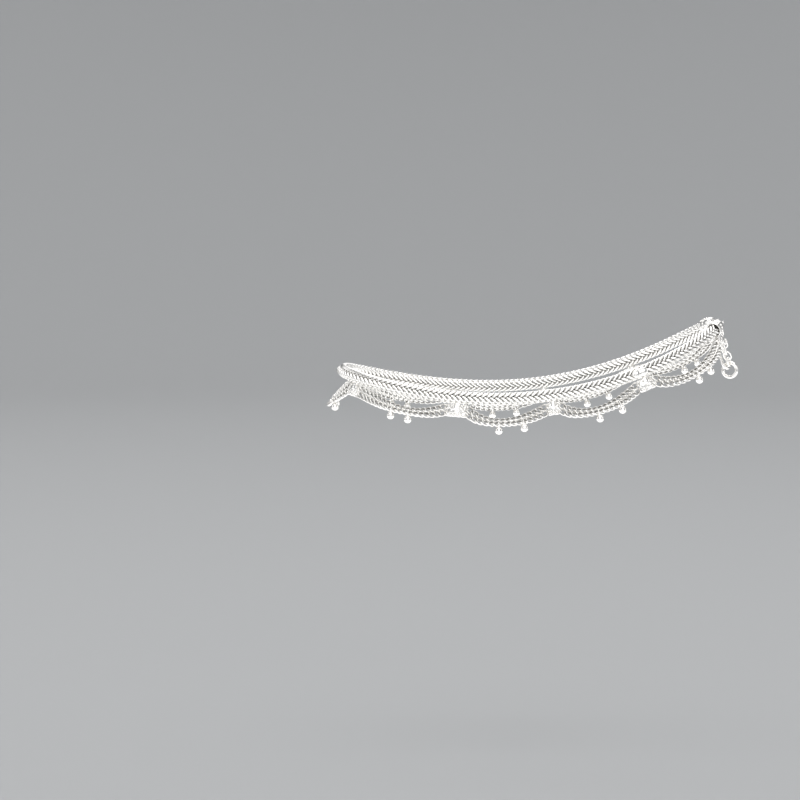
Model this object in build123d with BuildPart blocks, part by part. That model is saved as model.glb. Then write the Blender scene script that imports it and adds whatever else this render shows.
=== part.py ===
from build123d import *
import os
from math import atan, cos, pi, radians, sin, tan

import numpy as np

# A payal: a silver anklet. A thick foxtail chain goes round the ankle, swags of double
# curb chain hang from it between solder joins, and each swag carries two bead drops.
# Millimetres. The origin is the middle of the ankle hollow, +X points to the heel,
# -Y is the outer side of the foot and +Z is up. Places along the chain are arc lengths
# from the front of the ankle: plus along the outer side, minus along the inner side.

# the loop that the main chain lies on
LOOP_HALF_LENGTH = 55.0
LOOP_HALF_WIDTH = 29.0
LOOP_SQUARENESS = 2.6      # 2 is an ellipse, more is boxier
SIDE_HEIGHT = -8.4         # the chain's height at the ankle bone
HEEL_LEAN = 5.0            # how much higher the heel is than the side, by x
END_RISE = 13.0            # how much both ends rise over the sides, by x squared
HEEL_KICK = 1.8            # the last climb to the heel, by x cubed
FLARE_SIDE = 5.0           # the foot's slope off upright, in degrees, on the sides,
FLARE_FRONT = 22.0         # over the instep
FLARE_HEEL = 37.0          # and over the heel

# the foxtail chain
CHAIN_LENGTH = 267.2
CHAIN_RADIUS = 1.45
CHAIN_RUNS = 63

# the joins, by arc length, with the width of each solder patch
JOINS = (
    # place, width
    (16.5, 4.2),
    (49.0, 5.8),
    (76.0, 3.2),
    (103.0, 4.8),
)
JOIN_THICKNESS = 1.1
JOIN_TOP = -1.78
JOIN_NECK_WIDTH = 2.4
JOIN_SHOULDER = -2.4
JOIN_BOTTOM = -5.35
JOIN_ROUNDING = 0.5
JOIN_EDGE = 0.25

# the swags: two rows of curb chain side by side, twisted face down at the lowest point
ROW_SPACING = 1.86
ROW_DEPTH = 0.95
ROWS_AT_JOIN = -3.83
ROW_INSET = -0.75          # the rows lie against the skin, in from the chain's middle
ROW_GAP = 0.18
RUNS_PER_SWAG = 8
SWAGS = (
    # sag, lean (under 1 hangs lowest before the middle), twist in degrees, and how far
    # the two drops are past the middle; the front swag first, the one by the heel last
    (6.0, 1.0, 20.0, (-7.5, 7.5)),
    (2.1, 1.35, 58.0, (-1.1, 3.8)),
    (2.9, 0.8, 58.0, (-2.3, 4.2)),
    (2.9, 0.8, 58.0, (-1.4, 4.8)),
    (3.3, 0.85, 58.0, (-1.2, 3.4)),
)

# the drops: a ring round the lower row, and a bead soldered under it
DROP_RING_RADIUS = 0.82
DROP_WIRE = 0.4
DROP_BEAD_RADIUS = 1.02
DROP_BEAD_DEPTH = 1.85

# the closing at the heel: an end cap on each end of the chain, with the last join
# soldered under it; a tail of oval links to the catch ring, and a hook to hold that
CAP_PLACE = 133.2
CAP_REACH = (-1.6, 3.4)            # before and after its place
CAP_HALF_HEIGHT = 2.25
CAP_HALF_DEPTH = 2.1
CAP_WALL = 0.35
CAP_HOLLOW = 3.6
CAP_ROUNDING = 0.8
CAP_JOIN_WIDTH = 4.6
EYE_RADIUS = 1.3
EYE_WIRE = 0.6
CATCH_CENTRE = Vector(58.7, -0.5, -2.3)
CATCH_RADIUS = 2.1
CATCH_WIRE = 1.0
CATCH_TURN = -25.0                 # degrees from facing the outer side toward the heel
TAIL_ON_CATCH = -2.0               # degrees from the catch ring's top to its holders
HOOK_ON_CATCH = -40.0
TAIL_LINKS = 7
TAIL_WIRE = 0.45
TAIL_INNER_WIDTH = 1.65
TAIL_GAP = 0.17
TAIL_BEND = 1.02
HOOK_WIRE = 0.8
HOOK_HALF_WIDTH = 1.5
HOOK_PLAY = 0.35
HOOK_CURL = 3.2
HOOK_BEND = 1.35

# the tag, a bare plate with two plain round bosses
TAG_PLACE = 101.8
TAG_LENGTH = 4.8
TAG_HEIGHT = 2.3
TAG_THICKNESS = 0.4
TAG_OUT = 1.6
BOSS_SPACING = 2.3
BOSS_RADIUS = 0.95
BOSS_HEIGHT = 0.15

os.makedirs("parts", exist_ok=True)


# --- the loop -------------------------------------------------------------------

def signed_power(value, power):
    return np.sign(value) * np.abs(value) ** power


def loop_table(samples=4000):
    """Points on the main chain's middle line with their arc lengths from the front."""
    turn = np.linspace(-pi, pi, samples + 1)
    x = -LOOP_HALF_LENGTH * signed_power(np.cos(turn), 2 / LOOP_SQUARENESS)
    y = -LOOP_HALF_WIDTH * signed_power(np.sin(turn), 2 / LOOP_SQUARENESS)
    along = x / LOOP_HALF_LENGTH
    z = SIDE_HEIGHT + HEEL_LEAN * along + END_RISE * along**2 + HEEL_KICK * along**3
    points = np.stack([x, y, z], axis=1)
    steps = np.linalg.norm(np.diff(points, axis=0), axis=1)
    arcs = np.concatenate([[0], np.cumsum(steps)])
    return arcs - arcs[samples // 2], points


LOOP_ARCS, LOOP_POINTS = loop_table()


def loop_point(arc):
    return Vector(*(float(np.interp(arc, LOOP_ARCS, LOOP_POINTS[:, k])) for k in range(3)))


def chain_plane(arc):
    """The plane at a place on the chain: X along it, Y up the foot, Z out from the skin."""
    middle = loop_point(arc)
    tangent = (loop_point(arc + 0.4) - loop_point(arc - 0.4)).normalized()
    level = tangent.cross(Vector(0, 0, 1)).normalized()
    upward = level.cross(tangent)
    along = middle.X / LOOP_HALF_LENGTH
    flare = FLARE_SIDE
    flare += (FLARE_FRONT - FLARE_SIDE) * max(0.0, -along) ** 4
    flare += (FLARE_HEEL - FLARE_SIDE) * max(0.0, along) ** 4
    outward = level * cos(radians(flare)) + upward * sin(radians(flare))
    return Plane(origin=middle, x_dir=tangent, z_dir=outward)


def bend_radii(points, share=0.45):
    """The largest bend at each corner that its two runs leave room for."""
    radii = []
    for before, corner, after in zip(points, points[1:], points[2:]):
        first, second = corner - before, after - corner
        half_turn = radians(first.get_angle(second)) / 2
        radii.append(share * min(first.length, second.length) / tan(half_turn))
    return radii


# --- the foxtail chain ----------------------------------------------------------
# The chain is too fine to be made link by link here, so its solid is the tube that it
# fills: straight runs joined by tangent bends.

half_chain = CHAIN_LENGTH / 2
chain_corners = [
    loop_point(-half_chain + CHAIN_LENGTH * i / CHAIN_RUNS) for i in range(CHAIN_RUNS + 1)
]
with BuildPart() as foxtail_chain:
    with BuildLine() as chain_path:
        FilletPolyline(*chain_corners, radius=bend_radii(chain_corners))
    chain_line = chain_path.wires()[0]
    with BuildSketch(Plane(origin=chain_line @ 0, z_dir=chain_line % 0)):
        Circle(CHAIN_RADIUS)
    sweep(path=chain_line)
foxtail_chain.part.label = "foxtail_chain"
export_step(foxtail_chain.part, "parts/foxtail_chain.step")


# --- the swags and their drops --------------------------------------------------

class Swag:
    """Two rows of curb chain between two joins, as the tubes that the rows fill.

    Each join is its arc length and width, the one nearer the front first. Side is +1 on
    the outer side of the foot, and -1 on the inner side, which mirrors it.
    """

    def __init__(self, side, front_join, heel_join, shape):
        self.side = side
        self.sag, self.lean, self.twist, self.drops = shape
        start = front_join[0] + front_join[1] / 2
        end = heel_join[0] - heel_join[1] / 2
        step = 1 / RUNS_PER_SWAG
        steepest = max(self.hang(step), self.hang(1 - step)) / step
        gap = ROW_GAP + ROW_DEPTH / 2 * sin(atan(steepest / (end - start)))
        self.start = start + gap
        self.length = end - start - 2 * gap

    def hang(self, share):
        lower = share**self.lean
        return self.sag * 4 * lower * (1 - lower)

    def row_point(self, share, row):
        """A point on a row's middle line; row is +1 for the upper one, -1 for the lower."""
        twist = radians(self.twist) * sin(pi * share**self.lean)
        up = ROWS_AT_JOIN - self.hang(share) + row * ROW_SPACING / 2 * cos(twist)
        out = ROW_INSET + (1 - row) * ROW_SPACING / 2 * sin(twist)
        place = chain_plane(self.side * (self.start + share * self.length))
        return place.from_local_coords(Vector(0, up, out))

    def row_line(self, row):
        corners = [self.row_point(i / RUNS_PER_SWAG, row) for i in range(RUNS_PER_SWAG + 1)]
        with BuildLine() as line:
            FilletPolyline(*corners, radius=bend_radii(corners))
        return line.wires()[0]

    def drop_shares(self):
        """Where its drops are along it, in order from the inner heel to the outer."""
        return [0.5 + drop / self.length for drop in self.drops[:: self.side]]


first_join = (-JOINS[0][0], JOINS[0][1])
ends = [first_join, *JOINS, (CAP_PLACE, CAP_JOIN_WIDTH)]
outer_swags = [Swag(+1, *parts) for parts in zip(ends, ends[1:], SWAGS)]
inner_swags = [Swag(-1, *parts) for parts in zip(JOINS, ends[2:], SWAGS[1:])]

drop_number = 0
for number, swag in enumerate(inner_swags[::-1] + outer_swags, start=1):
    upper_row, lower_row = swag.row_line(+1), swag.row_line(-1)

    with BuildPart() as rows:
        for row in (upper_row, lower_row):
            with BuildSketch(Plane(origin=row @ 0, z_dir=row % 0)):
                Circle(ROW_DEPTH / 2)
            sweep(path=row)
    rows.part.label = f"swag_{number}"
    export_step(rows.part, f"parts/swag_{number}.step")

    for share in swag.drop_shares():
        drop_number += 1
        along = lower_row % share
        across = along.cross(Vector(0, 0, -1)).normalized()
        with BuildPart(Plane(origin=lower_row @ share, x_dir=across, z_dir=along)) as drop:
            Torus(DROP_RING_RADIUS, DROP_WIRE / 2)
            with Locations((0, -DROP_BEAD_DEPTH, 0)):
                Sphere(DROP_BEAD_RADIUS)
        drop.part.label = f"drop_{drop_number:02d}"
        export_step(drop.part, f"parts/drop_{drop_number:02d}.step")


# --- the joins ------------------------------------------------------------------
# Solder runs over the ends of the rows and up a short neck to the foxtail chain.

def solder_outline(width):
    """A join's outline: a neck that widens to a shoulder, and a straight-sided foot."""
    half = [
        (JOIN_NECK_WIDTH / 2, JOIN_TOP),
        (width / 2, JOIN_SHOULDER),
        (width / 2, JOIN_BOTTOM),
    ]
    return half + [(-x, y) for x, y in reversed(half)]


joins = [(-place, width) for place, width in reversed(JOINS)] + list(JOINS)
for number, (place, width) in enumerate(joins, start=1):
    with BuildPart() as join:
        back = chain_plane(place).offset(ROW_INSET - JOIN_THICKNESS / 2)
        with BuildSketch(back) as outline:
            Polygon(*solder_outline(width), align=None)
            fillet(outline.vertices(), radius=JOIN_ROUNDING)
        extrude(amount=JOIN_THICKNESS)
        fillet(join.edges(), radius=JOIN_EDGE)
    join.part.label = f"join_{number:02d}"
    export_step(join.part, f"parts/join_{number:02d}.step")


# --- the end caps ---------------------------------------------------------------
# A cup closes each end of the chain. An eye stands on its end, and the last join of the
# rows is soldered under it.

def cap_plane(side):
    """The chain's plane at a cap, turned so that X leaves the chain; side +1 is outer."""
    place = chain_plane(side * CAP_PLACE)
    return Plane(origin=place.origin, x_dir=place.x_dir * side, z_dir=place.z_dir)


def eye_centre(side):
    reach = CAP_REACH[1] + EYE_RADIUS - EYE_WIRE / 4
    return cap_plane(side).from_local_coords(Vector(reach, 0, 0))


for side, name in ((+1, "end_cap_near"), (-1, "end_cap_far")):
    plane = cap_plane(side)
    mouth = Plane(
        origin=plane.from_local_coords(Vector(CAP_REACH[0], 0, 0)),
        x_dir=plane.y_dir,
        z_dir=plane.x_dir,
    )
    eye = Plane(origin=eye_centre(side), x_dir=plane.x_dir, z_dir=plane.y_dir)
    cap_length = CAP_REACH[1] - CAP_REACH[0]
    with BuildPart() as end_cap:
        with BuildSketch(mouth):
            Ellipse(CAP_HALF_HEIGHT, CAP_HALF_DEPTH)
        extrude(amount=cap_length)
        closed_end = end_cap.faces().sort_by(Axis(mouth.origin, mouth.z_dir))[-1]
        fillet(closed_end.edges(), radius=CAP_ROUNDING)
        with BuildSketch(chain_plane(side * CAP_PLACE).offset(ROW_INSET - JOIN_THICKNESS / 2)):
            Polygon(*solder_outline(CAP_JOIN_WIDTH), align=None)
        extrude(amount=JOIN_THICKNESS)
        with BuildSketch(mouth):
            Ellipse(CAP_HALF_HEIGHT - CAP_WALL, CAP_HALF_DEPTH - CAP_WALL)
        extrude(amount=CAP_HOLLOW, mode=Mode.SUBTRACT)
        with Locations(eye.location):
            Torus(EYE_RADIUS, EYE_WIRE / 2)
    end_cap.part.label = name
    export_step(end_cap.part, f"parts/{name}.step")


# --- the catch ring, its tail and its hook --------------------------------------

catch_plane = Plane(origin=CATCH_CENTRE, x_dir=(1, 0, 0), z_dir=(0, -1, 0))
catch_plane = catch_plane.rotated((0, 0, CATCH_TURN))
with BuildPart(catch_plane) as catch_ring:
    Torus(CATCH_RADIUS, CATCH_WIRE / 2)
catch_ring.part.label = "catch_ring"
export_step(catch_ring.part, "parts/catch_ring.step")


def square_to(direction, along):
    """The part of a direction that is at right angles to another."""
    return (direction - along * direction.dot(along)).normalized()


def closing_span(side, turn):
    """Where the tail or the hook holds the cap's eye and the catch ring.

    Both ends come with the direction of the wire that is held there.
    """
    eye = cap_plane(side)
    top = catch_plane.x_dir * sin(radians(turn)) + catch_plane.y_dir * cos(radians(turn))
    lower = CATCH_CENTRE + top * CATCH_RADIUS
    toward = square_to(lower - eye_centre(side), eye.y_dir)
    upper = eye_centre(side) + toward * EYE_RADIUS
    return upper, toward.cross(eye.y_dir), lower, top.cross(catch_plane.z_dir)


def tail_link_outline():
    length = tail_pitch + TAIL_GAP + TAIL_WIRE
    width = TAIL_INNER_WIDTH + TAIL_WIRE
    return [(x * length / 2, y * width / 2) for x, y in ((1, 1), (-1, 1), (-1, -1), (1, -1))]


upper, eye_wire, lower, catch_wire = closing_span(+1, TAIL_ON_CATCH)
span = lower - upper
along = span.normalized()
tail_pitch = (span.length + EYE_WIRE / 2 + CATCH_WIRE / 2 + TAIL_GAP) / TAIL_LINKS
with BuildPart() as tail_link:
    with BuildLine() as tail_path:
        FilletPolyline(*tail_link_outline(), radius=TAIL_BEND, close=True)
    tail_line = tail_path.wires()[0]
    with BuildSketch(Plane(origin=tail_line @ 0, z_dir=tail_line % 0)):
        Circle(TAIL_WIRE / 2)
    sweep(path=tail_line)

# every link is a quarter turn on from the last, and the tail's whole twist is shared out
across_eye = square_to(eye_wire, along)
across_catch = square_to(catch_wire, along)
twist = across_eye.get_signed_angle(across_catch, along)
twist -= 180 * round(twist / 180)
first_centre = (tail_pitch - TAIL_GAP - EYE_WIRE) / 2
tail_links = []
for i in range(TAIL_LINKS):
    turn = i * (90 + twist / (TAIL_LINKS - 1))
    place = Plane(
        origin=upper + along * (first_centre + i * tail_pitch),
        x_dir=along,
        z_dir=across_eye.rotate(Axis((0, 0, 0), along), turn),
    )
    tail_links.append(tail_link.part.moved(place.location))
tail_chain = Compound(children=tail_links)
tail_chain.label = "tail_chain"
export_step(tail_chain, "parts/tail_chain.step")

# the hook is a plain bent wire: one curl closes round the cap's eye, and the other, open
# enough to unhook, goes through the catch ring
upper, eye_wire, lower, catch_wire = closing_span(-1, HOOK_ON_CATCH)
span = lower - upper
along = span.normalized()
across_eye = square_to(eye_wire, along)
across_catch = square_to(catch_wire, along)
if across_eye.dot(across_catch) < 0:
    across_catch = across_catch * -1
hook_plane = Plane(origin=upper, x_dir=along, z_dir=across_eye + across_catch)
eye_end = -(EYE_WIRE + HOOK_WIRE) / 2 - HOOK_PLAY
catch_end = span.length + (CATCH_WIRE + HOOK_WIRE) / 2 + HOOK_PLAY
with BuildPart() as clasp_hook:
    with BuildLine(hook_plane) as hook_path:
        FilletPolyline(
            (HOOK_CURL, HOOK_HALF_WIDTH),
            (eye_end, HOOK_HALF_WIDTH),
            (eye_end, -HOOK_HALF_WIDTH),
            (HOOK_CURL, -HOOK_HALF_WIDTH),
            (span.length - HOOK_CURL, HOOK_HALF_WIDTH),
            (catch_end, HOOK_HALF_WIDTH),
            (catch_end, -HOOK_HALF_WIDTH),
            (span.length - HOOK_CURL, -HOOK_HALF_WIDTH),
            radius=HOOK_BEND,
        )
    hook_line = hook_path.wires()[0]
    with BuildSketch(Plane(origin=hook_line @ 0, z_dir=hook_line % 0)):
        Circle(HOOK_WIRE / 2)
    sweep(path=hook_line)
clasp_hook.part.label = "clasp_hook"
export_step(clasp_hook.part, "parts/clasp_hook.step")


# --- the tag --------------------------------------------------------------------
# A bare plate on the chain's outer face, with two plain round bosses.

with BuildPart() as tag_plate:
    with BuildSketch(chain_plane(TAG_PLACE).offset(TAG_OUT)):
        SlotOverall(TAG_LENGTH, TAG_HEIGHT)
    extrude(amount=TAG_THICKNESS)
    with BuildSketch(chain_plane(TAG_PLACE).offset(TAG_OUT + TAG_THICKNESS)):
        with Locations((-BOSS_SPACING / 2, 0), (BOSS_SPACING / 2, 0)):
            Circle(BOSS_RADIUS)
    extrude(amount=BOSS_HEIGHT)
tag_plate.part.label = "tag_plate"
export_step(tag_plate.part, "parts/tag_plate.step")
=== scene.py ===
from math import atan, cos, pi, radians, sin

import bpy
import numpy as np
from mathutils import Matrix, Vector


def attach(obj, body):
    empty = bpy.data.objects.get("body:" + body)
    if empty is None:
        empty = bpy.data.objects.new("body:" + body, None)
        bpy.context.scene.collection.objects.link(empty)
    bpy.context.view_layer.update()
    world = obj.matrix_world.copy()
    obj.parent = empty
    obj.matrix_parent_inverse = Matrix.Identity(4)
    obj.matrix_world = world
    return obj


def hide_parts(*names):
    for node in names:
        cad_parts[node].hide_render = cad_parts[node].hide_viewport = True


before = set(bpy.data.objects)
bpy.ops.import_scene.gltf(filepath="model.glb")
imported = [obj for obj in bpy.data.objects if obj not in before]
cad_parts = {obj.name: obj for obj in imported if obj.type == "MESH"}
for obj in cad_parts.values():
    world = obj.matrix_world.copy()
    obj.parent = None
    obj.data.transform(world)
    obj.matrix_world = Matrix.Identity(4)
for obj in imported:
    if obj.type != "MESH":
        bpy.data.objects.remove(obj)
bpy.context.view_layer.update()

# --- The view ---------------------------------------------------------------------
# The anklet is seen level from its outer side with a long lens, a little from above,
# and stands to the right of the middle, because the toes would point to the left.

VIEW_DISTANCE = 0.9
VIEW_ELEVATION = 4.0
VIEW_ACROSS = 14.9
LEFT_OF_ANKLE = 0.0382
UNDER_ANKLE = 0.0112

aim = Vector((-LEFT_OF_ANKLE, 0, -UNDER_ANKLE))
lift = radians(VIEW_ELEVATION)
lens = bpy.data.cameras.new("side_view")
lens.angle = radians(VIEW_ACROSS)
lens.clip_start = 0.05
lens.clip_end = 20
camera = bpy.data.objects.new("side_view", lens)
camera.location = aim + VIEW_DISTANCE * Vector((0, -cos(lift), sin(lift)))
camera.rotation_euler = (pi / 2 - lift, 0, 0)
bpy.context.scene.collection.objects.link(camera)
bpy.context.scene.camera = camera


# --- The line of the anklet ---------------------------------------------------------
# The main chain goes round the ankle as a boxy oval, low at the ankle bone and higher
# at the front and the heel. Places on it are lengths along it from the front, plus on
# the outer side. Sizes are in millimetres until a piece is put in the scene.

MM = 0.001
LOOP_HALF_LENGTH = 55.0
LOOP_HALF_WIDTH = 29.0
LOOP_SQUARENESS = 2.6
SIDE_HEIGHT = -8.4
HEEL_LEAN = 5.0
END_RISE = 13.0
HEEL_KICK = 1.8
FLARE_SIDE = 5.0
FLARE_FRONT = 22.0
FLARE_HEEL = 37.0
LOOP_SAMPLES = 4000


def signed_power(value, power):
    return np.sign(value) * np.abs(value) ** power


def unit(vectors):
    return vectors / np.linalg.norm(vectors, axis=-1, keepdims=True)


turn = np.linspace(-pi, pi, LOOP_SAMPLES + 1)
loop_x = -LOOP_HALF_LENGTH * signed_power(np.cos(turn), 2 / LOOP_SQUARENESS)
loop_y = -LOOP_HALF_WIDTH * signed_power(np.sin(turn), 2 / LOOP_SQUARENESS)
toward_heel = loop_x / LOOP_HALF_LENGTH
loop_z = SIDE_HEIGHT + HEEL_LEAN * toward_heel + END_RISE * toward_heel**2
loop_z += HEEL_KICK * toward_heel**3
loop_line = np.stack([loop_x, loop_y, loop_z], axis=1)
steps = np.linalg.norm(np.diff(loop_line, axis=0), axis=1)
loop_arcs = np.concatenate([[0], np.cumsum(steps)])
loop_arcs -= loop_arcs[LOOP_SAMPLES // 2]


def on_loop(arc):
    return np.stack([np.interp(arc, loop_arcs, loop_line[:, k]) for k in range(3)], axis=-1)


def standing(arc):
    """Middle, along, up and out at places on the loop: up the foot and out from the skin."""
    middle = on_loop(arc)
    along = unit(on_loop(arc + 0.4) - on_loop(arc - 0.4))
    level = unit(np.cross(along, (0, 0, 1)))
    upward = np.cross(level, along)
    end = middle[..., :1] / LOOP_HALF_LENGTH
    flare = FLARE_SIDE + (FLARE_FRONT - FLARE_SIDE) * np.maximum(0, -end) ** 4
    flare = np.radians(flare + (FLARE_HEEL - FLARE_SIDE) * np.maximum(0, end) ** 4)
    out = level * np.cos(flare) + upward * np.sin(flare)
    return middle, along, np.cross(out, along), out


# --- The foxtail chain ----------------------------------------------------------------
# The anklet's main chain is woven of folded wire loops in fine silver. Each loop is bent
# into a V and goes through the one before it, so both faces show a plait of chevrons.
# The wire is a little thicker than a real one's, which closes the weave.

LINK_PITCH = 1.58
LINK_WIRE = 0.82
LINK_CORNERS = (
    # along, half height, half depth: over the edge, down the face, then the tip
    (-0.40, 1.27, 0.40),
    (0.36, 1.31, 0.42),
    (0.83, 1.24, 0.92),
    (2.42, 0.20, 0.95),
    (2.48, 0.20, 0.42),
)
LINK_ROUNDING = 2          # rounds of corner cutting
LINK_SIDES = 6
CHAIN_HALF_LENGTH = 133.6
CHAIN_ROLL = -20.0         # the weave's seam lies a little under the middle of the face,
CHAIN_TWIST = 12.0         # more so toward the front and less toward the heel, in degrees
WEAVE_HALF_HEIGHT = 1.68
WEAVE_HALF_DEPTH = 1.34
WEAVE_SHADE_END = 0.84        # the share of the way out where the painted shade and tarnish of its recesses end
WEAVE_SHADE_FADE = 0.3
SILVER = (0.97, 0.955, 0.93, 1.0)
# Dark silver for tarnish and for painted shade in the recesses
TARNISH_AND_SHADE_TONE = (0.2, 0.19, 0.17, 1.0)


def cut_corners(points, rounds):
    """A closed outline made rounder by cutting every corner, over and over."""
    for _ in range(rounds):
        following = np.roll(points, -1, axis=0)
        pair = [0.75 * points + 0.25 * following, 0.25 * points + 0.75 * following]
        points = np.stack(pair, axis=1).reshape(-1, 3)
    return points


def closed_wire(line, wire, sides):
    """The skin of a closed bent wire: its points, their faces and how far in each lies."""
    along = unit(np.roll(line, -1, axis=0) - np.roll(line, 1, axis=0))
    outward = line - line.mean(axis=0)
    outward = unit(outward - along * np.sum(outward * along, axis=1, keepdims=True))
    across = np.cross(along, outward)
    angle = np.linspace(0, 2 * pi, sides, endpoint=False)[None, :, None]
    ring = outward[:, None] * np.cos(angle) + across[:, None] * np.sin(angle)
    points = (line[:, None] + ring * wire / 2).reshape(-1, 3)
    inner = np.broadcast_to(0.5 - 0.5 * np.cos(angle[..., 0]), ring.shape[:2]).reshape(-1)
    i, j = np.meshgrid(np.arange(len(line)), np.arange(sides), indexing="ij")
    i_next, j_next = (i + 1) % len(line), (j + 1) % sides
    corners = [i * sides + j, i_next * sides + j, i_next * sides + j_next, i * sides + j_next]
    return points, np.stack(corners, axis=-1).reshape(-1, 4), inner


def repeat(points, faces, painted_shade_and_tarnish, places):
    """Copies of a small mesh at places given as (origin, along, up, out) arrays."""
    origin, along, up, out = places
    count = len(origin)
    axes = np.stack([along, up, out], axis=1)
    laid = np.einsum("pk,nkc->npc", points, axes) + origin[:, None]
    shifts = (np.arange(count) * len(points))[:, None, None]
    return laid.reshape(-1, 3), (faces[None] + shifts).reshape(-1, faces.shape[1]), np.tile(
        painted_shade_and_tarnish, count
    )


def make_piece(name, points, faces, painted_shade_and_tarnish, finish, slot, *nodes):
    """Puts a piece in the scene, in metres, in place of the nodes that it stands for."""
    mesh = bpy.data.meshes.new(name)
    mesh.from_pydata((points * MM).tolist(), [], faces.tolist())
    mesh.attributes.new("painted_shade_and_tarnish", "FLOAT", "POINT").data.foreach_set("value", painted_shade_and_tarnish)
    mesh.shade_smooth()
    mesh.materials.append(finish)
    piece = bpy.data.objects.new(name, mesh)
    bpy.context.scene.collection.objects.link(piece)
    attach(piece, "root")
    if nodes:
        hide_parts(*nodes)
    return piece


class Shade:
    """One output of a node in a finish, so that sums on shades are written as sums."""

    def __init__(self, tree, socket):
        self.tree, self.socket = tree, socket

    def node(self, kind, settings, inputs, output=0):
        """Adds a node: its type, its settings, which go in first, and its sockets."""
        node = self.tree.nodes.new(kind)
        for name, value in settings.items():
            setattr(node, name, value)
        for name, value in inputs.items():
            if isinstance(value, Shade):
                self.tree.links.new(value.socket, node.inputs[name])
            else:
                node.inputs[name].default_value = value
        return Shade(self.tree, node.outputs[output])

    def math(self, operation, first, second):
        return self.node("ShaderNodeMath", {"operation": operation}, {0: first, 1: second})

    def __add__(self, other):
        return self.math("ADD", self, other)

    def __sub__(self, other):
        return self.math("SUBTRACT", self, other)

    def __mul__(self, other):
        return self.math("MULTIPLY", self, other)

    def __pow__(self, other):
        return self.math("POWER", self, other)

    def __rsub__(self, other):
        return self.math("SUBTRACT", other, self)

    __radd__ = __add__
    __rmul__ = __mul__

    def clipped(self):
        return self.node("ShaderNodeClamp", {}, {"Value": self})

    def between(self, first, second):
        """The colour that is the first where this shade is 0 and the second where it is 1."""
        inputs = {0: self.clipped(), 6: first, 7: second}
        return self.node("ShaderNodeMix", {"data_type": "RGBA"}, inputs, output=2)


def silver_finish(name, tone=SILVER, polish=0.16, shade_and_tarnish_strength=0.85, dents=0.5, grain=0.0):
    """Silver: bright and finely scratched on top, and darker and duller in its recesses with
    painted shade and some tarnish.
    """
    finish = bpy.data.materials.new(name)
    finish.use_nodes = True
    tree = finish.node_tree
    surface = tree.nodes["Principled BSDF"]
    start = Shade(tree, None)
    place = start.node("ShaderNodeTexCoord", {}, {}, output="Object")

    def speckle(scale, detail):
        inputs = {"Vector": place, "Scale": scale, "Detail": detail}
        return start.node("ShaderNodeTexNoise", {}, inputs)

    # The recess mask carries painted shade in the hollows along with their tarnish
    painted_shade_and_tarnish = start.node("ShaderNodeAttribute", {"attribute_name": "painted_shade_and_tarnish"}, {}, output="Fac")
    patchy = speckle(420.0, 3.0)
    fine = speckle(5200.0, 2.0)
    # Painted shade and patchy tarnish: hollows and random patches are mixed toward dark silver
    # and made rougher
    shade_and_tarnish_amount = (painted_shade_and_tarnish + (patchy - 0.5) * 0.4) * shade_and_tarnish_strength
    shade_and_tarnish_amount = shade_and_tarnish_amount.clipped()
    tree.links.new(shade_and_tarnish_amount.between(tone, TARNISH_AND_SHADE_TONE).socket, surface.inputs["Base Color"])
    rough = polish + (patchy - 0.4) * 0.16 + shade_and_tarnish_amount * 0.30
    tree.links.new(rough.clipped().socket, surface.inputs["Roughness"])
    surface.inputs["Metallic"].default_value = 1.0
    relief = fine * 0.35 + speckle(1400.0, 2.0) * dents + speckle(2600.0, 1.0) * grain
    bump = {"Strength": 0.4, "Distance": 0.00004, "Height": relief}
    normal = start.node("ShaderNodeBump", {}, bump)
    tree.links.new(normal.socket, surface.inputs["Normal"])
    return finish


def folded_link():
    """One foxtail link along its own axis, its tips pointing back towards the toes."""
    quarter = np.array(LINK_CORNERS) * (-1, 1, 1)
    up_front, up_back = quarter, quarter[::-1] * (1, 1, -1)
    low_back, low_front = quarter * (1, -1, -1), quarter[::-1] * (1, -1, 1)
    lower = np.concatenate([low_back, low_front]) + (LINK_PITCH / 2, 0, 0)
    corners = np.concatenate([up_front, up_back, lower])
    return closed_wire(cut_corners(corners, LINK_ROUNDING), LINK_WIRE, LINK_SIDES)


def rolled(places):
    """Places turned about the line of the chain as its twist does."""
    middle, along, up, out = places
    roll = np.radians(CHAIN_ROLL + CHAIN_TWIST * middle[:, :1] / LOOP_HALF_LENGTH)
    c, s = np.cos(roll), np.sin(roll)
    return middle, along, up * c + out * s, out * c - up * s


link, link_faces, _ = folded_link()
height_share = np.abs(link[:, 1]) / WEAVE_HALF_HEIGHT
outermost = np.maximum(height_share, np.abs(link[:, 2]) / WEAVE_HALF_DEPTH)
# Painted shade with some tarnish: the wire darkens where it lies inward of the weave's outer
# faces
link_shade_and_tarnish = np.clip((WEAVE_SHADE_END - outermost) / WEAVE_SHADE_FADE, 0, 1)
link_count = round(2 * CHAIN_HALF_LENGTH / LINK_PITCH)
link_arcs = (np.arange(link_count) + 0.5) / link_count * 2 - 1
link_places = rolled(standing(link_arcs * CHAIN_HALF_LENGTH))
foxtail = repeat(link, link_faces, link_shade_and_tarnish, link_places)
foxtail_silver = silver_finish("foxtail_silver")
make_piece("foxtail_links", *foxtail, foxtail_silver, "foxtail_silver", "foxtail_chain")


# --- The curb chain swags ---------------------------------------------------------------
# Two rows of flat curb chain side by side hang in a scallop from one join to the next.
# They lie against the skin, and turn their faces up where they hang lowest.

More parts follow.
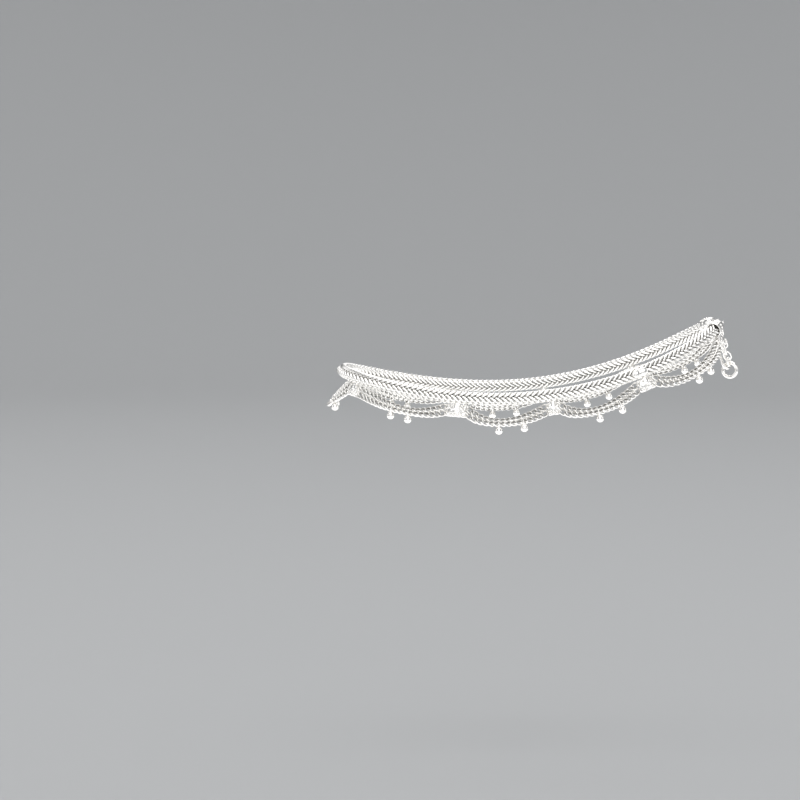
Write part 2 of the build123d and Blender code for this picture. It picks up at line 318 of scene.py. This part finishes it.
CAP_PLACE = 133.2
CAP_JOIN_WIDTH = 4.6
JOINS = (
    # place, width
    (16.5, 4.2),
    (49.0, 5.8),
    (76.0, 3.2),
    (103.0, 4.8),
)
ROW_SPACING = 1.86
ROW_DEPTH = 0.95
ROWS_AT_JOIN = -3.83
ROW_INSET = -0.75
ROW_GAP = 0.18
ROW_RUNS = 8               # the straight runs of the frame's rows, which set their gap
SWAGS = (
    # sag, lean, twist and the places of the two drops past the middle
    (6.0, 1.0, 20.0, (-7.5, 7.5)),
    (2.1, 1.35, 58.0, (-1.1, 3.8)),
    (2.9, 0.8, 58.0, (-2.3, 4.2)),
    (2.9, 0.8, 58.0, (-1.4, 4.8)),
    (3.3, 0.85, 58.0, (-1.2, 3.4)),
)
CURB_PITCH = 1.57
CURB_WIRE = 0.55
CURB_SIDES = 10
CURB_HALF_LENGTH = 1.1
CURB_HALF_WIDTH = 0.66
CURB_TWIST = 0.29
CURB_POINTS = 30
ROW_SAMPLES = 400


class Swag:
    """Two rows of curb chain between two joins; side is +1 outside the foot, -1 inside."""

    def __init__(self, side, front_join, heel_join, shape):
        self.side = side
        self.sag, self.lean, self.twist, self.drops = shape
        start = front_join[0] + front_join[1] / 2
        end = heel_join[0] - heel_join[1] / 2
        steepest = max(self.hang(1 / ROW_RUNS), self.hang(1 - 1 / ROW_RUNS)) * ROW_RUNS
        gap = ROW_GAP + ROW_DEPTH / 2 * sin(atan(steepest / (end - start)))
        self.start = start + gap
        self.length = end - start - 2 * gap

    def hang(self, share):
        lower = share**self.lean
        return self.sag * 4 * lower * (1 - lower)

    def row(self, share, side):
        """Middle line and ups of a row; side is +1 for the upper one, -1 for the lower."""
        middle, _, up, out = standing(self.side * (self.start + share * self.length))
        twist = radians(self.twist) * np.sin(pi * share**self.lean)
        rise = ROWS_AT_JOIN - self.hang(share) + side * ROW_SPACING / 2 * np.cos(twist)
        stand_off = ROW_INSET + (1 - side) * ROW_SPACING / 2 * np.sin(twist)
        points = middle + up * rise[:, None] + out * stand_off[:, None]
        return points, up * np.cos(twist)[:, None] - out * np.sin(twist)[:, None]

    def link_places(self, side):
        """Evenly spaced places of a row's links."""
        points, ups = self.row(np.linspace(0, 1, ROW_SAMPLES), side)
        lengths = np.linalg.norm(np.diff(points, axis=0), axis=1)
        arcs = np.concatenate([[0], np.cumsum(lengths)])
        count = round(arcs[-1] / CURB_PITCH)
        centres = (np.arange(count) + 0.5) / count * arcs[-1]

        def at(values, where):
            return np.stack([np.interp(where, arcs, values[:, k]) for k in range(3)], axis=1)

        along = unit(at(points, centres + 0.3) - at(points, centres - 0.3))
        up = at(ups, centres)
        up = unit(up - along * np.sum(up * along, axis=1, keepdims=True))
        return at(points, centres), along, up, np.cross(along, up)

    def drop_places(self):
        """The places of its two drops, from the inner heel's one to the outer heel's."""
        for drop in self.drops[:: self.side]:
            share = 0.5 + drop / self.length
            points, _ = self.row(np.array([share - 0.01, share, share + 0.01]), -1)
            along = unit(points[2] - points[0])
            across = unit(np.cross(along, (0, 0, -1)))
            yield points[1], along, np.cross(along, across), across


def curb_link():
    """One curb link: an oval, boxy ring twisted so that it lies flat with its neighbours."""
    t = np.linspace(0, 2 * pi, CURB_POINTS, endpoint=False)
    x = CURB_HALF_LENGTH * signed_power(np.cos(t), 0.85)
    y = CURB_HALF_WIDTH * signed_power(np.sin(t), 0.85)
    z = CURB_TWIST * np.sin(2 * t)
    return closed_wire(np.stack([x, y, z], axis=1), CURB_WIRE, CURB_SIDES)


front_join = (-JOINS[0][0], JOINS[0][1])
ends = [front_join, *JOINS, (CAP_PLACE, CAP_JOIN_WIDTH)]
outer_swags = [Swag(+1, *parts) for parts in zip(ends, ends[1:], SWAGS)]
inner_swags = [Swag(-1, *parts) for parts in zip(JOINS, ends[2:], SWAGS[1:])]
swags = inner_swags[::-1] + outer_swags

curb, curb_faces, curb_inner = curb_link()
# Painted shade with some tarnish on the inner side of each curb link's wire
curb_shade_and_tarnish = np.clip(curb_inner * 1.4 - 0.3, 0, 1)
curb_silver = silver_finish("curb_silver", dents=0.3)
for number, swag in enumerate(swags, start=1):
    places = [np.concatenate(both) for both in zip(swag.link_places(+1), swag.link_places(-1))]
    links = repeat(curb, curb_faces, curb_shade_and_tarnish, places)
    make_piece(f"swag_links_{number}", *links, curb_silver, "curb_silver", f"swag_{number}")


# --- The solder joins -------------------------------------------------------------------
# Where two swags meet, their last links are flooded with silver solder and a blob of it
# runs up to the chain. The solder has frozen in grains, with the links showing through.

JOIN_TOP = -1.55
PLATE_HALF_HEIGHT = 1.65
PLATE_HALF_DEPTH = 0.66
PLATE_SHARE = 0.28         # of the join's width, for each of its three lumps
PLATE_SHIFTS = (-0.2, 0.0, 0.2)
BLOBS = (
    # lift from the join's top, size
    (-1.5, 0.95),
    (-0.9, 0.85),
    (-0.35, 0.7),
)
GRAIN_SIZES = (0.22, 0.38)
GRAINS_PER_MM = 14         # along the join
SOLDER_VOXEL = 0.08
SOLDER_SMOOTHING = 6
grains = np.random.default_rng(11)


def ball(centre, radii, rings=8, sides=12):
    """A closed ball or egg as points and faces, with its poles cut small."""
    lat = np.linspace(0.12, pi - 0.12, rings)
    lon = np.linspace(0, 2 * pi, sides, endpoint=False)
    a, b = np.meshgrid(lat, lon, indexing="ij")
    skin = np.stack([np.sin(a) * np.cos(b), np.sin(a) * np.sin(b), np.cos(a)], axis=-1)
    return skin.reshape(-1, 3) * radii + centre, rows_of_faces(rings, sides)


def rows_of_faces(rings, sides):
    """Faces between rings of points, with a lid on the first ring and on the last."""
    i, j = np.meshgrid(np.arange(rings - 1), np.arange(sides), indexing="ij")
    j_next = (j + 1) % sides
    corners = [i * sides + j, (i + 1) * sides + j, (i + 1) * sides + j_next, i * sides + j_next]
    faces = [list(face) for face in np.stack(corners, axis=-1).reshape(-1, 4)]
    faces.append(list(range(sides - 1, -1, -1)))
    faces.append([(rings - 1) * sides + j for j in range(sides)])
    return faces


def melted(parts, voxel, smoothing):
    """Overlapping parts run together into one skin, with its hollows marked for painted shade
    and tarnish.
    """
    points, faces = [], []
    for part_points, part_faces in parts:
        shift = sum(len(p) for p in points)
        points.append(part_points)
        faces += [[int(v) + shift for v in face] for face in part_faces]
    mesh = bpy.data.meshes.new("melt")
    mesh.from_pydata(np.concatenate(points).tolist(), [], faces)
    lump = bpy.data.objects.new("melt", mesh)
    bpy.context.scene.collection.objects.link(lump)
    melt = lump.modifiers.new("melt", "REMESH")
    melt.mode = "VOXEL"
    melt.voxel_size = voxel
    soft = lump.modifiers.new("soft", "SMOOTH")
    soft.factor = 0.5
    soft.iterations = smoothing
    seen = lump.evaluated_get(bpy.context.evaluated_depsgraph_get())
    done = bpy.data.meshes.new_from_object(seen)
    bpy.data.objects.remove(lump)
    count = len(done.vertices)
    skin = np.empty(count * 3, np.float32)
    done.vertices.foreach_get("co", skin)
    skin = skin.reshape(-1, 3).astype(float)
    normals = np.array([v.normal for v in done.vertices])
    ends = np.array([edge.vertices for edge in done.edges])
    total, near = np.zeros((count, 3)), np.zeros(count)
    for first, second in ((0, 1), (1, 0)):
        np.add.at(total, ends[:, first], skin[ends[:, second]])
        np.add.at(near, ends[:, first], 1)
    # Painted shade with some tarnish: how far each point sits below its neighbours sets how
    # dark it is painted
    hollow = np.sum((total / near[:, None] - skin) * normals, axis=1) / voxel
    painted_shade_and_tarnish = np.clip(hollow * 6, 0, 1)
    quads = np.array([list(face.vertices) for face in done.polygons if len(face.vertices) == 4])
    return skin, quads, painted_shade_and_tarnish


def solder_parts(width):
    """A join's metal before it melts: link ends, a plate, grains and the blob on top."""
    parts = []
    count = max(2, round(width / CURB_PITCH))
    for side in (+1, -1):
        for k in range(count):
            shift = ((k + 0.5) / count - 0.5) * width
            middle = (shift, ROWS_AT_JOIN + side * ROW_SPACING / 2, ROW_INSET)
            parts.append((curb + middle, curb_faces))
    plate_size = (width * PLATE_SHARE, PLATE_HALF_HEIGHT, PLATE_HALF_DEPTH)
    for shift in PLATE_SHIFTS:
        plate = (shift * width, ROWS_AT_JOIN, ROW_INSET)
        parts.append(ball(plate, plate_size, rings=12, sides=24))
    spread = 0.6 + width / 8
    for lift, size in BLOBS:
        centre = (0, JOIN_TOP + lift, ROW_INSET + 0.25)
        parts.append(ball(centre, (spread * size, size, size * 0.9), rings=10, sides=16))
    for _ in range(round(GRAINS_PER_MM * width)):
        size = grains.uniform(*GRAIN_SIZES)
        y = grains.uniform(ROWS_AT_JOIN - PLATE_HALF_HEIGHT, JOIN_TOP - 0.3)
        reach = 0.46 * width if y < ROWS_AT_JOIN + PLATE_HALF_HEIGHT else spread * 0.7
        x = grains.uniform(-reach, reach)
        side = grains.choice((-1, 1))
        centre = (x, y, ROW_INSET + side * (PLATE_HALF_DEPTH + 0.08 - size * 0.4))
        parts.append(ball(centre, (size, size, size * 0.8)))
    return parts


def lay(points, place):
    """Moves a piece from its own axes to its place on the loop."""
    middle, along, up, out = place
    return middle + points @ np.stack([along, up, out])


solder_silver = silver_finish("solder_silver", polish=0.2, dents=1.0, grain=0.8)
joins = [(-place, width) for place, width in reversed(JOINS)] + list(JOINS)
for number, (place, width) in enumerate(joins, start=1):
    skin, faces, painted_shade_and_tarnish = melted(solder_parts(width), SOLDER_VOXEL, SOLDER_SMOOTHING)
    skin = lay(skin, standing(np.array(place)))
    solder = (skin, faces, painted_shade_and_tarnish, solder_silver, "solder_silver", f"join_{number:02d}")
    make_piece(f"solder_{number:02d}", *solder)


# --- The bead drops ---------------------------------------------------------------------
# Two small drops hang under every swag: a wire ring closed round the lower row, with a
# polished ball soldered to it.

DROP_RING_RADIUS = 0.82
DROP_WIRE = 0.42
DROP_BEAD_RADIUS = 1.1
DROP_BEAD_DEPTH = 1.85
DROP_NECK = (0.62, 0.5, 0.68)
DROP_NECK_REACH = 0.15     # below the ring
DROP_VOXEL = 0.09
DROP_SMOOTHING = 5


def drop_parts():
    """A drop before it is soldered: its ring about X, its neck and its ball."""
    t = np.linspace(0, 2 * pi, 28, endpoint=False)
    ring = np.stack([0 * t, np.sin(t), np.cos(t)], axis=1) * DROP_RING_RADIUS
    ring_points, ring_faces, _ = closed_wire(ring, DROP_WIRE, CURB_SIDES)
    neck_place = (0, -DROP_RING_RADIUS - DROP_NECK_REACH, 0)
    neck = ball(neck_place, DROP_NECK, rings=12, sides=20)
    bead = ball((0, -DROP_BEAD_DEPTH, 0), (DROP_BEAD_RADIUS,) * 3, rings=20, sides=32)
    return [(ring_points, ring_faces), neck, bead]


drop_skin, drop_faces, drop_shade_and_tarnish = melted(drop_parts(), DROP_VOXEL, DROP_SMOOTHING)
bead_silver = silver_finish("bead_silver", polish=0.08, dents=0.15)
drop_places = [place for swag in swags for place in swag.drop_places()]
for number, place in enumerate(drop_places, start=1):
    skin = lay(drop_skin, place)
    drop = (skin, drop_faces, drop_shade_and_tarnish, bead_silver, "bead_silver")
    make_piece(f"bead_drop_{number:02d}", *drop, f"drop_{number:02d}")


# --- The end caps -----------------------------------------------------------------------
# A cast cup with a rolled rim closes each end of the chain, and an eye stands on it. The
# last links of the rows are flooded with solder under it, as they are at every join.

CUP_HALF_HEIGHT = 2.25
CUP_HALF_DEPTH = 2.1
CUP_PROFILE = (
    # along, share of the half height and depth: the rim, the outside, then the hollow
    (-1.60, 0.88),
    (-1.58, 0.96),
    (-1.40, 1.00),
    (-1.10, 0.99),
    (-0.95, 0.93),
    (2.20, 0.93),
    (2.90, 0.86),
    (3.25, 0.66),
    (3.40, 0.20),
    (1.95, 0.20),
    (1.95, 0.70),
    (1.60, 0.82),
    (-1.50, 0.83),
)
CUP_SIDES = 40
EYE_PLACE = 4.55
EYE_RADIUS = 1.3
EYE_WIRE = 0.6
CUP_GRAINS = 16
CUP_GRAIN_SIZE = 0.3
CUP_GRAIN_PLACE = 0.6
CUP_GRAIN_SINK = 0.95      # the share of the cup's half height and depth they stand at


def cup_parts():
    """The cup, its eye and a row of grains round it, with the chain coming in along X."""
    profile = np.array(CUP_PROFILE + CUP_PROFILE[:1])
    angle = np.linspace(0, 2 * pi, CUP_SIDES, endpoint=False)
    round_about = np.stack([np.cos(angle) * CUP_HALF_HEIGHT, np.sin(angle) * CUP_HALF_DEPTH])
    skin = profile[:, None, 1:] * round_about.T[None]
    x = np.broadcast_to(profile[:, None, :1], skin.shape[:2] + (1,))
    skin = np.concatenate([x, skin], axis=2).reshape(-1, 3)
    cup = (skin, rows_of_faces(len(profile), CUP_SIDES)[:-2])
    t = np.linspace(0, 2 * pi, 36, endpoint=False)
    ring = np.stack([EYE_PLACE + EYE_RADIUS * np.cos(t), 0 * t, EYE_RADIUS * np.sin(t)], axis=1)
    eye, eye_faces, _ = closed_wire(ring, EYE_WIRE, CURB_SIDES)
    parts = [cup, (eye, eye_faces)]
    for a in np.linspace(0, 2 * pi, CUP_GRAINS, endpoint=False):
        height = cos(a) * CUP_HALF_HEIGHT * CUP_GRAIN_SINK
        depth = sin(a) * CUP_HALF_DEPTH * CUP_GRAIN_SINK
        centre = (CUP_GRAIN_PLACE, height, depth)
        parts.append(ball(centre, (CUP_GRAIN_SIZE,) * 3))
    return parts


for side, name in ((+1, "near"), (-1, "far")):
    metal = [(points * (side, 1, 1), faces) for points, faces in cup_parts()]
    metal += solder_parts(CAP_JOIN_WIDTH)
    skin, faces, painted_shade_and_tarnish = melted(metal, SOLDER_VOXEL, SOLDER_SMOOTHING)
    skin = lay(skin, standing(np.array(side * CAP_PLACE)))
    cap = (skin, faces, painted_shade_and_tarnish, solder_silver, "solder_silver", f"end_cap_{name}")
    make_piece(f"cup_{name}", *cap)


# --- The tag ----------------------------------------------------------------------------
# A small bare plate with a rolled edge on the chain's outer face near the heel, with two
# plain low bosses where such tags are stamped.

TAG_PLACE = 101.8
TAG_HALF_LENGTH = 2.4
TAG_HALF_HEIGHT = 1.15
TAG_OUT = 1.6
TAG_THICKNESS = 0.4
BOSS_SPACING = 2.3
BOSS_RADII = (1.05, 0.98, 0.32)
SHEET_RADII = (1.2, 0.8, 0.17)
TAG_VOXEL = 0.06
TAG_SMOOTHING = 2


def tag_parts():
    """The plate's rolled edge, its sheet and its bosses, before they are one."""
    middle = TAG_OUT + TAG_THICKNESS / 2
    t = np.linspace(0, 2 * pi, 48, endpoint=False)
    straight = TAG_HALF_LENGTH - TAG_HALF_HEIGHT
    bend = TAG_HALF_HEIGHT - TAG_THICKNESS / 2
    x = np.cos(t) * bend + np.sign(np.cos(t)) * straight
    edge = np.stack([x, np.sin(t) * bend, 0 * t + middle], axis=1)
    edge_points, edge_faces, _ = closed_wire(edge, TAG_THICKNESS, CURB_SIDES)
    parts = [(edge_points, edge_faces)]
    for shift in (-BOSS_SPACING / 2, BOSS_SPACING / 2):
        parts.append(ball((shift, 0, middle), BOSS_RADII, rings=12, sides=32))
    parts.append(ball((0, 0, middle), SHEET_RADII, rings=10, sides=24))
    return parts


tag_silver = silver_finish("tag_silver", polish=0.2, dents=0.4)
skin, faces, painted_shade_and_tarnish = melted(tag_parts(), TAG_VOXEL, TAG_SMOOTHING)
skin = lay(skin, standing(np.array(TAG_PLACE)))
make_piece("tag", skin, faces, painted_shade_and_tarnish, tag_silver, "tag_silver", "tag_plate")


# --- The closing ------------------------------------------------------------------------
# A tail of oval links hangs from the outer cap to the catch ring, and a bent wire hook
# on the inner cap holds that ring. All are solid silver as they come from the frame.

wire_silver = silver_finish("wire_silver", polish=0.14, dents=0.2)
for node in ("tail_chain", "catch_ring", "clasp_hook"):
    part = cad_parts[node]
    part.data.materials.clear()
    part.data.materials.append(wire_silver)


# --- The studio -----------------------------------------------------------------------
# A pale floor that turns up into a wall all round, with soft boxes over and beside the
# anklet, and a wide one on the floor that lights it from below as a reflector would.

FLOOR_DEPTH = 0.11
FLOOR_RADIUS = 1.5
COVE_RADIUS = 0.8
WALL_TOP = 2.6
PAPER = (0.36, 0.365, 0.37, 1.0)
PAPER_ROUGHNESS = 0.7
SOFT_BOXES = (
    # name, place, width and height, glow
    ("top_light", (0.0, 0.0, 1.7), (1.9, 1.9), 2.2),
    ("outer_light", (0.0, -1.7, 0.75), (2.6, 1.3), 1.5),
    ("inner_light", (0.0, 1.9, 1.15), (2.6, 1.1), 1.4),
    ("toe_light", (-1.35, 0.0, 0.44), (1.2, 1.0), 1.0),
    ("heel_light", (1.35, 0.0, 0.44), (1.2, 1.0), 1.0),
    ("reflector", (0.0, 0.0, 0.002 - FLOOR_DEPTH), (0.9, 0.9), 0.9),
)
ROOM_TINT = (0.95, 0.97, 1.0, 1.0)
ROOM_GLOW = 0.4


def cove_profile():
    """The floor's edge and the wall, as (radius, height) points."""
    bend = np.linspace(0, pi / 2, 16)
    curve = [(FLOOR_RADIUS + COVE_RADIUS * sin(a), COVE_RADIUS * (1 - cos(a))) for a in bend]
    return [(0.02, 0.0), (0.5, 0.0)] + curve + [(FLOOR_RADIUS + COVE_RADIUS, WALL_TOP)]


profile = cove_profile()
sides = 96
cove_points, cove_faces = [], []
for radius, height in profile:
    for k in range(sides):
        angle = 2 * pi * k / sides
        cove_points.append((radius * cos(angle), radius * sin(angle), height - FLOOR_DEPTH))
for ring in range(len(profile) - 1):
    for k in range(sides):
        here, there = ring * sides, (ring + 1) * sides
        k_next = (k + 1) % sides
        cove_faces.append((here + k, here + k_next, there + k_next, there + k))
cove_faces.append(tuple(range(sides - 1, -1, -1)))
paper = bpy.data.materials.new("paper")
paper.use_nodes = True
paper.node_tree.nodes["Principled BSDF"].inputs["Base Color"].default_value = PAPER
paper.node_tree.nodes["Principled BSDF"].inputs["Roughness"].default_value = PAPER_ROUGHNESS
cove_mesh = bpy.data.meshes.new("cove")
cove_mesh.from_pydata(cove_points, [], cove_faces)
cove_mesh.shade_smooth()
cove_mesh.materials.append(paper)
cove = bpy.data.objects.new("cove", cove_mesh)
bpy.context.scene.collection.objects.link(cove)


def soft_box(name, where, size, glow):
    """A soft light that faces the anklet and only shows in what it lights."""
    light = bpy.data.lights.new(name, "AREA")
    light.shape = "RECTANGLE"
    light.size, light.size_y = size
    light.energy = glow * pi * size[0] * size[1]
    box = bpy.data.objects.new(name, light)
    box.location = where
    box.rotation_euler = (-Vector(where)).to_track_quat("-Z", "Y").to_euler()
    box.visible_camera = False
    bpy.context.scene.collection.objects.link(box)


for name, where, size, glow in SOFT_BOXES:
    soft_box(name, where, size, glow)
world = bpy.data.worlds.new("studio")
world.use_nodes = True
world.node_tree.nodes["Background"].inputs["Color"].default_value = ROOM_TINT
world.node_tree.nodes["Background"].inputs["Strength"].default_value = ROOM_GLOW
bpy.context.scene.world = world
bpy.context.scene.view_settings.view_transform = "Standard"
